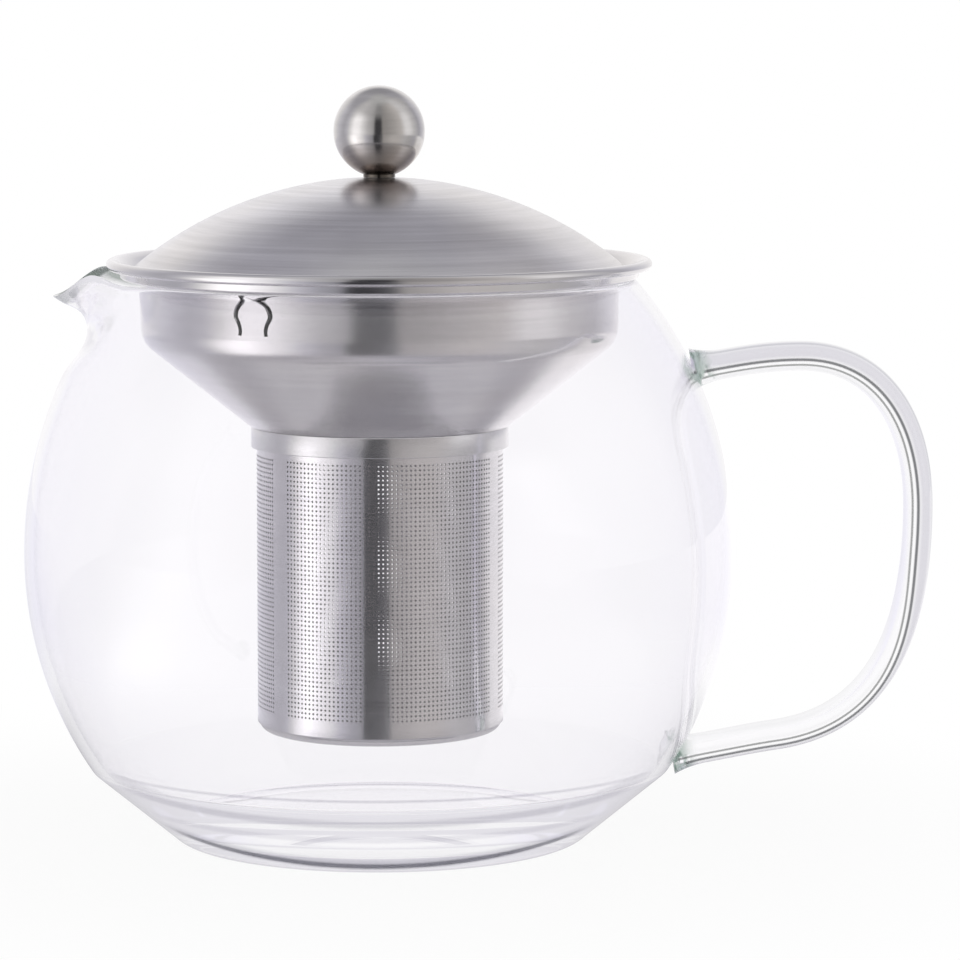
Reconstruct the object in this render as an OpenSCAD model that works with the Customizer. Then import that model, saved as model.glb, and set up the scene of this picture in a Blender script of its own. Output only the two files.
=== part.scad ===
// Glass jug teapot with a hanging steel infuser and a domed lid.
// Millimetres. Z is up, the origin is the centre of the base on the table,
// the pouring lip points to -X and the handle to +X.

/* [Glass jug] */
// Widest outside diameter of the jug
body_d = 151.6; // [140:0.2:170]
// Height of the widest place above the table
belly_z = 61.5; // [54:0.5:68]
// Height of the glass rim
jug_h = 120; // [112:0.5:128]
// Inside diameter of the mouth
mouth_d = 105.8; // [98:0.2:112]
// Thickness of the blown wall
glass_wall = 2.1; // [1.6:0.1:3]
// Diameter of the edge where the wall turns in to the base
base_edge_d = 123.8; // [116:0.2:130]
// Height of that edge
base_edge_z = 15.8; // [12:0.2:20]
// Outside diameter of the foot
foot_d = 93.4; // [84:0.2:102]
// Radius that rounds the foot into the base
foot_round = 6; // [3:0.5:8]
// Thickness of the glass floor
floor_t = 4.6; // [3:0.1:6]

/* [Pouring lip] */
// How far the lip stands out past the mouth
lip_out = 14.2; // [8:0.2:18]
// Radius of the lip's rounded tip, seen from above
lip_tip_r = 12; // [8:0.5:16]
// How far the tip lies below the rim
lip_drop = 2.4; // [1:0.1:4]
// Height over which the lip grows out of the shoulder
lip_h = 16; // [12:0.5:20]
// How far the throat under the lip is drawn in
throat_in = 1.7; // [0:0.1:2.5]

/* [Handle] */
// Reach of the handle's outside from the jug's axis
handle_reach = 118.1; // [110:0.5:130]
// Height of the middle of the top bar
handle_top_z = 103.6; // [96:0.2:108]
// Height where the grip stands furthest out
grip_z = 71.2; // [62:0.5:78]
// Height where the top bar meets the wall
top_root_z = 100.8; // [94:0.2:104]
// Height where the lower bar meets the wall
low_root_z = 18; // [16:0.2:26]
// Distance of the top bend from the axis
top_bend_x = 89.7; // [84:0.5:94]
// Distance of the lower bend from the axis
low_bend_x = 84.5; // [80:0.5:92]
// Height of the lower bend
low_bend_z = 22; // [19:0.5:30]
// Thickness of the glass strap
handle_t = 6.4; // [5:0.2:9]
// Width of the glass strap
handle_w = 11; // [8:0.5:16]
// How much thicker the strap is where it is fused on
root_grow = 2.6; // [1:0.2:5]

/* [Infuser funnel] */
// Thickness of the steel sheet
sheet_t = 0.6; // [0.4:0.05:0.8]
// How far the rolled rim stands out past the glass rim
rim_over = 2.9; // [2:0.1:6]
// Height of the rim above the ledge that the lid rests on
rim_rise = 3.6; // [3:0.1:6]
// Thickness of the rolled rim
rim_bead_d = 2.3; // [1.8:0.1:2.8]
// Play between the collar and the mouth, on the radius
mouth_play = 2.2; // [0.6:0.1:3]
// Height of the upright collar
collar_h = 10.2; // [9:0.2:16]
// Radius of the bend between collar and cone
collar_bend = 6; // [2:0.5:8]
// Height of the lower end of the cone above the table
cone_end_z = 88.8; // [82:0.2:94]

/* [Spring tongues] */
// Number of tongues that grip the glass mouth
tongues = 3; // [2:1:4]
// Width of a tongue's oval head
tongue_w = 7.0; // [6:0.2:10]
// Height of a tongue's oval head
tongue_head_h = 5.6; // [4:0.2:8]
// Width of a tongue at its root
tongue_root_w = 5.4; // [4:0.2:8]
// Height of a tongue
tongue_h = 6.8; // [5:0.2:7]
// Height of a tongue's root above the bend of the collar
tongue_rise = 0.9; // [0.4:0.1:4]
// Width of the slit round a tongue
slit_w = 1.1; // [0.6:0.1:1.5]
// Direction of the first tongue, from the front towards the lip
tongue_turn = 29; // [0:1:60]

/* [Basket] */
// Outside diameter of the perforated sleeve
sleeve_d = 52.6; // [46:0.2:58]
// Thickness of the perforated sheet
sleeve_t = 0.4; // [0.3:0.05:0.6]
// Height of the bottom of the basket above the table
basket_z = 23.6; // [18:0.2:34]
// Height of the plain band round the neck
band_h = 4.4; // [3:0.2:8]
// Thickness of the neck band
band_t = 1.1; // [0.6:0.05:1.6]
// Length of the funnel's neck inside the sleeve
spigot_h = 4; // [3:0.2:8]
// Height of the wall of the pressed bottom cup
cup_h = 4.4; // [4:0.2:8]
// Thickness of the cup's sheet
cup_t = 0.6; // [0.4:0.05:0.8]
// Radius of the cup's bottom edge
cup_round = 1.8; // [1:0.1:3]
// Diameter of a hole in the sleeve
hole_d = 1.8; // [1:0.1:2.4]
// Spacing of the holes, along and around
hole_pitch = 3.8; // [3.4:0.1:6]
// Number of plain strips up the sleeve
strips = 3; // [2:1:4]
// Width of each plain strip
strip_w = 4.6; // [3:0.2:8]
// Direction of the first plain strip, from the front towards the lip
strip_turn = 52; // [0:1:119]

/* [Lid] */
// Play between the lid's edge and the funnel's rim, on the radius
lid_play = 0.8; // [0.4:0.1:1.2]
// Rise of the lid's dome
lid_rise = 20.4; // [14:0.2:28]
// Thickness of the lid's sheet
lid_t = 0.7; // [0.5:0.05:1]
// Depth of the locating ring below the lid's edge
skirt_h = 7; // [4:0.5:10]
// Play between locating ring and collar, on the radius
skirt_play = 0.7; // [0.4:0.1:1.5]
// Width of the locating ring's flange under the dome
skirt_flange = 3; // [2:0.5:6]

/* [Knob] */
// Diameter of the ball knob
knob_d = 19.4; // [15:0.1:26]
// Diameter of the knob's foot
knob_foot_d = 6.8; // [6.4:0.1:12]
// Diameter of the screw that holds the knob
screw_d = 4; // [3:0.5:5]
// How far the screw reaches into the knob
screw_in = 9; // [5:0.5:12]
// Diameter of the screw's head
screw_head_d = 7.4; // [6.4:0.1:9]
// Height of the screw's head
screw_head_h = 2; // [1.4:0.1:3]
// Diameter of the washer under the screw's head
washer_d = 10; // [9:0.5:14]
// Thickness of the washer
washer_t = 0.8; // [0.5:0.1:1.2]

/* [Fits] */
// Gap between pieces that rest on each other and lift apart
seat_gap = 0.3; // [0.2:0.05:0.5]
// Gap between pieces that are welded, pressed or screwed together
seam_gap = 0.05; // [0.03:0.01:0.1]

/* [Hidden] */
$fn = 96;

glass_colour = [0.9, 0.93, 0.93, 0.4];
handle_colour = [0.86, 0.9, 0.9, 0.5];
satin_colour = [0.76, 0.76, 0.77];
bright_colour = [0.68, 0.68, 0.7];

// ---------- curves shared by the pieces ----------

// Point on a quadratic curve
function bend2(a, b, c, t) = (1 - t) * (1 - t) * a + 2 * t * (1 - t) * b + t * t * c;

// Point on a cubic curve
function bend3(a, b, c, d, t) =
    pow(1 - t, 3) * a + 3 * t * pow(1 - t, 2) * b + 3 * t * t * (1 - t) * c + pow(t, 3) * d;

// Points along an arc about a centre
function arc_points(centre, r, from, to, steps) =
    [for (i = [0:steps]) let (a = from + (to - from) * i / steps) centre + r * [cos(a), sin(a)]];

function unit(v) = v / norm(v);
function reversed(list) = [for (i = [len(list) - 1:-1:0]) list[i]];

// Direction of a path at one of its points
function heading(path, i) = unit(path[min(i + 1, len(path) - 1)] - path[max(i - 1, 0)]);

// Normal to the right of a path's stretch that ends at a point, or starts there
function side_before(path, i) =
    let (k = max(i, 1), h = unit(path[k] - path[k - 1])) [h.y, -h.x];
function side_after(path, i) =
    let (k = min(i, len(path) - 2), h = unit(path[k + 1] - path[k])) [h.y, -h.x];

// Path shifted to its right by a distance
function shifted(path, t) = [for (i = [0:len(path) - 1])
    let (a = side_before(path, i), b = side_after(path, i)) path[i] + t * (a + b) / (1 + a * b)];

// Closed outline of a sheet that is t thick and lies to the right of its path
function sheet_outline(path, t) = concat(path, reversed(shifted(path, t)));

// ---------- glass jug ----------

body_r = body_d / 2;
mouth_r = mouth_d / 2;
base_edge_r = base_edge_d / 2;
foot_r = foot_d / 2;
rim_round = glass_wall / 2;

// The wall is an ellipse that passes through the rim above and the base edge below
rim_mid = [mouth_r + rim_round, jug_h - rim_round];
rise_above = (rim_mid.y - belly_z) / sqrt(1 - pow(rim_mid.x / (body_r - rim_round), 2)) + rim_round;
drop_below = (belly_z - base_edge_z) / sqrt(1 - pow(base_edge_r / body_r, 2));

// Radius of the wall at a height, drawn in by an inset
function wall_r(z, inset) =
    let (reach = (z > belly_z ? rise_above : drop_below) - inset)
    (body_r - inset) * sqrt(1 - pow((z - belly_z) / reach, 2));
function wall_points(from, to, inset, steps) =
    [for (i = [0:steps]) let (z = from + (to - from) * i / steps) [wall_r(z, inset), z]];

// Slope of the wall's outward normal at the rim
rim_lean = atan(pow((body_r - rim_round) / (rise_above - rim_round), 2)
                * (rim_mid.y - belly_z) / rim_mid.x);

bowl_steps = 9;
shoulder_steps = 8;
upper_wall_steps = 8;
inner_edge_z = base_edge_z + glass_wall / 2;
// The part of the wall with the lip starts a little below the place where the lip begins
upper_from_z = jug_h - lip_h - 5;
stand_r = foot_r - foot_round;

// Outline of the part with the lip: up the outside, over the rim and down the inside
rim_side = rim_round * [cos(rim_lean), sin(rim_lean)];
rim_blend = 0.6;
upper_outline = concat(
    wall_points(upper_from_z, rim_mid.y + rim_side.y - rim_blend, 0, upper_wall_steps),
    arc_points(rim_mid, rim_round, rim_lean, rim_lean + 180, 8),
    reversed(wall_points(upper_from_z, rim_mid.y - rim_side.y - rim_blend, glass_wall, upper_wall_steps)));

foot_points = arc_points([stand_r, foot_round], foot_round, -90, -45, 6);
// The jug is told apart at its widest place, in a bowl below and a shoulder above
shoulder_from_z = belly_z + seam_gap;
outer_bowl = wall_points(base_edge_z, belly_z, 0, bowl_steps);
inner_bowl = wall_points(inner_edge_z, belly_z, glass_wall, bowl_steps);
outer_shoulder = wall_points(shoulder_from_z, upper_from_z, 0, shoulder_steps);
inner_shoulder = wall_points(shoulder_from_z, upper_from_z, glass_wall, shoulder_steps);
// The floor inside curves up to the sloping base
floor_bend_from = [foot_r - 1, floor_t + 3.8];
floor_bend_by = [foot_r - 6, floor_t];
floor_bend_to = [foot_r - 16, floor_t];
floor_points = concat(
    [for (i = [0:5]) bend2(floor_bend_from, floor_bend_by, floor_bend_to, i / 5)],
    [[0, floor_t]]);
bowl_outline = concat([[0, 0]], foot_points, outer_bowl, reversed(inner_bowl), floor_points);
shoulder_outline = concat(outer_shoulder, reversed(inner_shoulder));

// Shape of the lip seen from above: two tangents from the rim to a rounded tip
lip_rim_r = mouth_r + glass_wall;
lip_centre = lip_rim_r + lip_out - lip_tip_r;
lip_half_angle = acos((lip_rim_r - lip_tip_r) / lip_centre);
lip_tip_angle = atan2(lip_tip_r * sin(lip_half_angle),
                      lip_centre + lip_tip_r * cos(lip_half_angle));
function lip_plan_r(a) =
    a < lip_tip_angle
        ? lip_centre * cos(a) + sqrt(pow(lip_tip_r, 2) - pow(lip_centre * sin(a), 2))
        : lip_rim_r / cos(lip_half_angle - a);

// 0 at the lip's sides and 1 at its tip
function lip_share(a) =
    abs(a) >= lip_half_angle ? 0 : (lip_plan_r(abs(a)) - lip_rim_r) / lip_out;

// How far the wall is drawn out at a height, and how far it is lowered there.
// Below the rim the throat is drawn in first, and then the wall sweeps out to the tip.
lip_curve = 2.2;
throat_reach = 9.5;
throat_z = upper_from_z + throat_reach;
function lip_pull(z) =
    lip_out * pow(max(0, (z - jug_h + lip_h) / lip_h), lip_curve)
    - (abs(z - throat_z) < throat_reach
        ? throat_in * pow(cos(90 * (z - throat_z) / throat_reach), 2) : 0);
function lip_lower(z) =
    let (u = min(1, max(0, (z - jug_h + lip_h / 2) / (lip_h / 2)))) lip_drop * u * u * (3 - 2 * u);

// Directions of the sections that this part is drawn through, close together at the lip
lip_steps = 24;
plain_steps = 54;
lip_edge_angle = lip_half_angle + 2;
lip_turns = [for (i = [0:lip_steps]) lip_edge_angle * (2 * i / lip_steps - 1)];
plain_turns = [for (i = [1:plain_steps - 1])
    lip_edge_angle + (360 - 2 * lip_edge_angle) * i / plain_steps];
upper_turns = concat(lip_turns, plain_turns);

// This part stands a little way down inside the turned wall under it
root_shrink = 0.15;
root_depth = 0.5;
upper_root_z = upper_from_z - root_depth;
function root_points(inset) =
    [[wall_r(upper_root_z, inset), upper_root_z], [wall_r(upper_from_z, inset), upper_from_z]];
upper_section = concat(
    root_points(root_shrink),
    [for (i = [1:len(upper_outline) - 2]) upper_outline[i]],
    reversed(root_points(glass_wall - root_shrink)));

module upper_wall() {
    n = len(upper_section);
    turns = len(upper_turns);
    rings = [for (a = upper_turns)
        let (share = lip_share(a))
        [for (p = upper_section)
            let (r = p.x + share * lip_pull(p.y))
            [-r * cos(a), -r * sin(a), p.y - share * lip_lower(p.y)]]];
    polyhedron([for (ring = rings) for (p = ring) p],
               [for (i = [0:turns - 1]) for (j = [0:n - 1])
                   let (k = (i + 1) % turns, m = (j + 1) % n)
                   [i * n + j, i * n + m, k * n + m, k * n + j]]);
}

module glass_bowl() {
    color(glass_colour) rotate_extrude() polygon(bowl_outline);
}

module glass_shoulder() {
    color(glass_colour)
        union() {
            rotate_extrude() polygon(shoulder_outline);
            upper_wall();
        }
}

// ---------- handle ----------

// Outline of the jug's outside as if it were solid, which the handle is fused to
outer_high = [for (i = [1:upper_wall_steps]) upper_outline[i]];
filled_outline = concat([[0, 0]], foot_points, outer_bowl, outer_shoulder, outer_high,
                        [[0, outer_high[upper_wall_steps - 1].y]]);

// Path of the handle's middle line, seen from the front
root_bite = 1;
bar_pull = 8;
grip_x = handle_reach - handle_t / 2;
top_root = [wall_r(top_root_z, root_bite), top_root_z];
low_root = [wall_r(low_root_z, root_bite), low_root_z];
top_bend = [top_bend_x, handle_top_z];
grip = [grip_x, grip_z];
low_bend = [low_bend_x, low_bend_z];
// How full the upper and lower bends are, from 0 for a corner cut straight to 1 for a square one
top_fullness = 0.62;
low_fullness = 0.68;
low_bar_slope = 2.6;
bar_steps = 8;
bend_steps = 14;
handle_path = concat(
    [for (i = [0:bar_steps])
        bend3(top_root, top_root + [bar_pull, 1], top_bend - [bar_pull + 2, 0], top_bend,
              i / bar_steps)],
    [for (i = [1:bend_steps])
        bend3(top_bend, [top_bend.x + top_fullness * (grip_x - top_bend.x), top_bend.y],
              [grip_x, grip_z + top_fullness * (top_bend.y - grip_z)], grip, i / bend_steps)],
    [for (i = [1:bend_steps])
        bend3(grip, [grip_x, low_bend.y + (1 - low_fullness) * (grip_z - low_bend.y)],
              low_bend + [0.6 * (grip_x - low_bend.x), low_bar_slope], low_bend, i / bend_steps)],
    [for (i = [1:bar_steps])
        bend3(low_bend, low_bend - [bar_pull - 2, low_bar_slope / 3],
              low_root + [bar_pull, low_bar_slope / 2], low_root, i / bar_steps)]);

// The strap thickens where it is fused to the wall
grow_length = 7;
function growth(p, root) = root_grow * pow(max(0, 1 - norm(p - root) / grow_length), 2);

strap_sides = 16;
module strap() {
    last = len(handle_path) - 1;
    rings = [for (i = [0:last])
        let (p = handle_path[i], h = heading(handle_path, i), out = [-h.y, h.x],
             grow = growth(p, top_root) + growth(p, low_root))
        [for (j = [0:strap_sides - 1])
            let (a = 360 * j / strap_sides, q = p + out * cos(a) * (handle_t + grow) / 2)
            [q.x, sin(a) * (handle_w + grow) / 2, q.y]]];
    sides = [for (i = [0:last - 1]) for (j = [0:strap_sides - 1])
        [i * strap_sides + j, i * strap_sides + (j + 1) % strap_sides,
         (i + 1) * strap_sides + (j + 1) % strap_sides, (i + 1) * strap_sides + j]];
    caps = [[for (j = [strap_sides - 1:-1:0]) j],
            [for (j = [0:strap_sides - 1]) last * strap_sides + j]];
    polyhedron([for (ring = rings) for (p = ring) p], concat(sides, caps));
}

module glass_handle() {
    color(handle_colour)
        difference() {
            strap();
            rotate_extrude() polygon(filled_outline);
        }
}

// ---------- infuser ----------

// The rim's ledge rests on the glass and the collar hangs inside the mouth
ledge_z = jug_h + seat_gap;
lid_seat_z = ledge_z + sheet_t;
collar_r = mouth_r - mouth_play;
rim_r = mouth_r + glass_wall + rim_over;
bead_r = rim_bead_d / 2;
bead_centre = [rim_r - bead_r, lid_seat_z + rim_rise - bead_r];
step_r = bead_centre.x - bead_r - 0.1;
step_bend = 0.9;
collar_end_z = ledge_z - collar_h;
ledge_bend = 1.2;

sleeve_r = sleeve_d / 2;
sleeve_in = sleeve_r - sleeve_t;
spigot_r = sleeve_in - seam_gap;
band_r = sleeve_r + seam_gap + band_t;
cone_end_r = band_r + sheet_t / 4;
neck_top_z = cone_end_z - seam_gap;
// The cone leaves the bend on its tangent
bend_centre = [collar_r - collar_bend, collar_end_z];
to_bend = bend_centre - [cone_end_r, cone_end_z];
cone_slope = atan2(to_bend.y, to_bend.x) - asin(collar_bend / norm(to_bend));

// Under face of the funnel's sheet, from the curled rim down to the neck
funnel_path = concat(
    arc_points(bead_centre, bead_r - sheet_t, -140, 90, 14),
    [[bead_centre.x - bead_r * 0.4, bead_centre.y + bead_r - sheet_t - 0.1]],
    [[step_r - 0.15, bead_centre.y - bead_r * 0.4]],
    arc_points([step_r - step_bend - 0.4, ledge_z + step_bend], step_bend, -20, -90, 3),
    arc_points([collar_r + ledge_bend, ledge_z - ledge_bend], ledge_bend, 90, 180, 5),
    arc_points(bend_centre, collar_bend, 0, cone_slope - 90, 6),
    [[cone_end_r, cone_end_z], [spigot_r, cone_end_z], [spigot_r, cone_end_z - spigot_h]]);

// Outline of a tongue, or of the cut round it, seen from outside
tongue_z = collar_end_z + tongue_rise;
function tongue_outline(grow) =
    let (half_w = tongue_w / 2 + grow, half_h = tongue_head_h / 2 + grow)
    concat([[-tongue_root_w / 2 - grow, 0], [tongue_root_w / 2 + grow, 0]],
           [for (p = arc_points([0, 0], 1, -15, 195, 14))
               [p.x * half_w, tongue_h - tongue_head_h / 2 + p.y * half_h]]);

module tongue_slit() {
    translate([collar_r - 3 * sheet_t, 0, tongue_z])
        rotate([90, 0, 90])
            linear_extrude(6 * sheet_t)
                difference() {
                    polygon(tongue_outline(slit_w));
                    polygon(tongue_outline(0));
                }
}

module infuser_funnel() {
    color(satin_colour)
        difference() {
            rotate_extrude() polygon(sheet_outline(funnel_path, sheet_t));
            for (i = [0:tongues - 1])
                rotate([0, 0, -90 - tongue_turn + 360 * i / tongues]) tongue_slit();
        }
}

module ring(outer_r, inner_r, from, to) {
    translate([0, 0, from])
        difference() {
            cylinder(h = to - from, r = outer_r);
            translate([0, 0, -1]) cylinder(h = to - from + 2, r = inner_r);
        }
}

module neck_band() {
    color(bright_colour) ring(band_r, sleeve_r + seam_gap, neck_top_z - band_h, neck_top_z);
}

// Rows and columns of holes between the cup, the band and the plain strips
hole_edge = 0.6;
hole_margin = hole_d / 2 + hole_edge;
holes_from_z = basket_z + cup_h + hole_margin;
holes_to_z = neck_top_z - band_h - hole_margin;
hole_past = 1;
hole_rows = floor((holes_to_z - holes_from_z) / hole_pitch) + 1;
strip_angle = strip_w / sleeve_r * 180 / PI;
field_angle = 360 / strips - strip_angle;
pitch_angle = hole_pitch / sleeve_r * 180 / PI;
hole_columns = floor((field_angle - (hole_d / sleeve_r * 180 / PI)) / pitch_angle) + 1;

module basket_sleeve() {
    start = -90 - strip_turn + 180 / strips;
    color(bright_colour)
        difference() {
            ring(sleeve_r, sleeve_in, basket_z + cup_round, neck_top_z);
            for (field = [0:strips - 1])
                for (column = [0:hole_columns - 1])
                    for (row = [0:hole_rows - 1])
                        rotate([0, 0, start + field * 360 / strips
                                + (column - (hole_columns - 1) / 2) * pitch_angle])
                            translate([sleeve_in - hole_past, 0, holes_from_z + row * hole_pitch])
                                rotate([0, 90, 0])
                                    cylinder(h = sleeve_t + 2 * hole_past, d = hole_d, $fn = 16);
        }
}

cup_r = sleeve_in - seam_gap;
cup_path = concat([[cup_r, basket_z + cup_h]],
                  arc_points([cup_r - cup_round, basket_z + cup_round], cup_round, 0, -90, 6),
                  [[0, basket_z]]);
module basket_base() {
    color(bright_colour) rotate_extrude() polygon(sheet_outline(cup_path, cup_t));
}

// ---------- lid ----------

lid_edge_z = lid_seat_z + seat_gap;
lid_r = step_r - sheet_t - 0.15 - lid_play;
dome_r = (lid_r * lid_r + lid_rise * lid_rise) / (2 * lid_rise);
dome_centre_z = lid_edge_z + lid_rise - dome_r;
lid_top_z = lid_edge_z + lid_rise;
screw_r = screw_d / 2;
screw_play = 0.2;
screw_hole_r = screw_r + screw_play;
dome_steps = 20;

// Height of the dome's face at a distance from the axis, sunk by a depth
function dome_z(r, depth) = dome_centre_z + sqrt(pow(dome_r - depth, 2) - r * r);
function dome_points(from_r, to_r, depth) =
    let (size = dome_r - depth, a = asin(from_r / size), b = asin(to_r / size))
    [for (i = [0:dome_steps])
        let (angle = a + (b - a) * i / dome_steps)
        [size * sin(angle), dome_centre_z + size * cos(angle)]];

lid_in_r = sqrt(pow(dome_r - lid_t, 2) - pow(lid_edge_z - dome_centre_z, 2));
module lid_dome() {
    color(satin_colour)
        rotate_extrude()
            polygon(concat(dome_points(screw_hole_r, lid_r, 0),
                           reversed(dome_points(screw_hole_r, lid_in_r, lid_t))));
}

// Outer face of the locating ring, from its welded flange down to its edge
skirt_r = collar_r - sheet_t - skirt_play;
skirt_depth = lid_t + seam_gap;
skirt_bend = 1;
skirt_path = concat(
    [for (i = [0:4])
        let (r = skirt_r - skirt_bend - skirt_flange * (1 - i / 4)) [r, dome_z(r, skirt_depth)]],
    [[skirt_r, dome_z(skirt_r, skirt_depth) - skirt_bend], [skirt_r, lid_edge_z - skirt_h]]);
module lid_skirt() {
    color(bright_colour) rotate_extrude() polygon(sheet_outline(skirt_path, sheet_t));
}

knob_r = knob_d / 2;
knob_z = lid_top_z + seam_gap + knob_r;
screw_end_room = 1;
module lid_knob() {
    color(satin_colour)
        difference() {
            union() {
                translate([0, 0, knob_z]) sphere(r = knob_r);
                translate([0, 0, lid_top_z + seam_gap]) cylinder(h = knob_r, d = knob_foot_d);
            }
            translate([0, 0, lid_top_z - 1])
                cylinder(h = screw_in + 1 + screw_end_room, r = screw_r + seam_gap);
        }
}

washer_top_z = dome_z(washer_d / 2, lid_t) - seam_gap;
washer_low_z = washer_top_z - washer_t;
module knob_washer() {
    color(bright_colour) ring(washer_d / 2, screw_hole_r, washer_low_z, washer_top_z);
}

head_top_z = washer_low_z - seam_gap;
shank_from_z = head_top_z - screw_head_h / 2;
module knob_screw() {
    color(bright_colour)
        union() {
            translate([0, 0, head_top_z - screw_head_h])
                cylinder(h = screw_head_h, d = screw_head_d);
            translate([0, 0, shank_from_z])
                cylinder(h = lid_top_z + screw_in - shank_from_z, r = screw_r);
        }
}

glass_bowl();
glass_shoulder();
glass_handle();
infuser_funnel();
neck_band();
basket_sleeve();
basket_base();
lid_dome();
lid_skirt();
lid_knob();
knob_screw();
knob_washer();
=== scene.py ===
# %% [markdown]
# # A glass teapot with a steel infuser
# This lesson dresses a fixed frame of a teapot: a blown glass jug with a lip and a looped
# handle, a steel funnel with a perforated basket that hangs in its mouth, and a domed lid.
# The frame gives the place of every piece, in metres, with Z up, the lip at -X and the
# handle at +X. We load it first.

# %% Load the frame
import math

import bpy
import numpy as np
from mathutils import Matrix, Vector


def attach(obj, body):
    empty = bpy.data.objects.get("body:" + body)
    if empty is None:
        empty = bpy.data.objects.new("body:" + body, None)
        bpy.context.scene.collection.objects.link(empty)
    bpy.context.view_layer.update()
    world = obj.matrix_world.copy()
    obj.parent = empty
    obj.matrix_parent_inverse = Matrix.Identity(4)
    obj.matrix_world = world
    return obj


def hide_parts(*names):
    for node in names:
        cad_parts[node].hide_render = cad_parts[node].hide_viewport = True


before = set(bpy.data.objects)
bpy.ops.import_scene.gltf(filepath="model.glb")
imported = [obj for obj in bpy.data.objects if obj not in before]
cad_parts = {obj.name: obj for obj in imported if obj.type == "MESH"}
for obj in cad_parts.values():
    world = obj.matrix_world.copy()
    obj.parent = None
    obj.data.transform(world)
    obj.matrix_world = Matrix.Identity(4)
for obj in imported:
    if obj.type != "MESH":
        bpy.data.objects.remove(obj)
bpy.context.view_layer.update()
scene = bpy.context.scene
scene.view_settings.view_transform = "Standard"
MM = 0.001
print("frame nodes:", sorted(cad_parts))

# %% [markdown]
# ## Outlines
# Nearly every piece here was spun, blown or drawn round one axis, so its shape is an outline
# of radius and height. We keep the outlines in millimetres, as a maker would write them, and
# need arcs, smooth curves, rounded corners and the offset that gives a sheet its thickness.

# %% Curves for outlines
def arc(centre, radius, start, end, steps=12):
    """Points along an arc, angles in degrees."""
    turns = np.radians(np.linspace(start, end, steps + 1))
    return [(centre[0] + radius * math.cos(t), centre[1] + radius * math.sin(t)) for t in turns]


def bezier(points, steps=16):
    """Points along a quadratic or cubic curve through its control points."""
    t = np.linspace(0, 1, steps + 1)[:, None]
    levels = [np.repeat([q], len(t), axis=0) for q in np.array(points, float)]
    while len(levels) > 1:
        levels = [(1 - t) * a + t * b for a, b in zip(levels, levels[1:])]
    return [tuple(q) for q in levels[0]]


def rounded(points, radius, closed=False, steps=5, sharper_than=12):
    """The same outline with an arc in place of each corner that turns more than an angle."""
    p = np.array(points, float)
    n = len(p)
    out = []
    most = 0.45  # the share of a side that one arc may take
    for i in range(n):
        if not closed and i in (0, n - 1):
            out.append(tuple(p[i]))
            continue
        a, b, c = p[i - 1], p[i], p[(i + 1) % n]
        la, lc = np.linalg.norm(a - b), np.linalg.norm(c - b)
        if min(la, lc) < 1e-6:
            continue
        u, v = (a - b) / la, (c - b) / lc
        turn = 180 - math.degrees(math.acos(max(-1, min(1, float(u @ v)))))
        if turn < sharper_than:
            out.append(tuple(b))
            continue
        cut = min(radius * math.tan(math.radians(turn / 2)), most * la, most * lc)
        out += bezier([b + u * cut, b, b + v * cut], steps)
    return out


def shifted(path, distance):
    """A path moved to its right by a distance, with mitred corners."""
    p = np.array(path, float)
    d = np.diff(p, axis=0)
    d /= np.linalg.norm(d, axis=1)[:, None]
    right = np.stack([d[:, 1], -d[:, 0]], axis=1)
    before = np.vstack([right[:1], right])
    after = np.vstack([right, right[-1:]])
    mitre = (before + after) / (1 + np.sum(before * after, axis=1))[:, None]
    return [tuple(q) for q in p + distance * mitre]


def sheet(path, thickness, edge=0.12):
    """Closed outline of sheet metal that lies to the right of its path, with eased edges."""
    return rounded(list(path) + shifted(path, thickness)[::-1], edge, closed=True, sharper_than=50)


print("a quarter arc of radius 10 mm has", len(arc((0, 0), 10, 0, 90)), "points")

# %% [markdown]
# ## Spinning an outline
# Blender's Screw modifier could spin an outline, but writing the mesh ourselves keeps the
# quads even, closes the poles cleanly and lets later cells pull the rings out of round.

# %% Meshes from rings
SHARP = 38  # degrees between two faces from which their edge isn't shaded smooth
ON_AXIS = 1e-6


def add_mesh(name, points, faces, sharp=SHARP):
    """A mesh object from points in millimetres, shaded smooth but for its sharp edges."""
    mesh = bpy.data.meshes.new(name)
    mesh.from_pydata((np.array(points, float) * MM).tolist(), [], faces)
    mesh.validate()
    mesh.shade_smooth()
    mesh.set_sharp_from_angle(angle=math.radians(sharp))
    piece = bpy.data.objects.new(name, mesh)
    scene.collection.objects.link(piece)
    return piece


def keep_on_points(piece, label, values):
    """Keeps a number at each point of a mesh, for the finish to read."""
    piece.data.attributes.new(label, "FLOAT", "POINT").data.foreach_set("value", values)


def skin(rings, loop_rings=True, loop_points=True):
    """Quads between rings of the same number of points, numbered ring by ring."""
    turns, n = len(rings), len(rings[0])
    return [(i * n + j, i * n + (j + 1) % n,
             ((i + 1) % turns) * n + (j + 1) % n, ((i + 1) % turns) * n + j)
            for i in range(turns if loop_rings else turns - 1)
            for j in range(n if loop_points else n - 1)]


def outward(points, faces):
    """Turns all faces over if the solid they close has its inside out."""
    p = np.array(points, float)
    corners = np.array([(f[0], f[k], f[k + 1]) for f in faces for k in range(1, len(f) - 1)])
    a, b, c = (p[corners[:, i]] for i in range(3))
    volume = np.sum(a * np.cross(b, c))
    return faces if volume > 0 else [tuple(reversed(f)) for f in faces]


def add_poles(points, faces, turns, low, high):
    """Closes strips that end short of the axis by a fan of triangles at either end."""
    n = len(points) // turns
    points += [(0, 0, low), (0, 0, high)]
    for i in range(turns):
        k = (i + 1) % turns
        faces.append((turns * n, i * n, k * n))
        faces.append((turns * n + 1, k * n + n - 1, i * n + n - 1))


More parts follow.
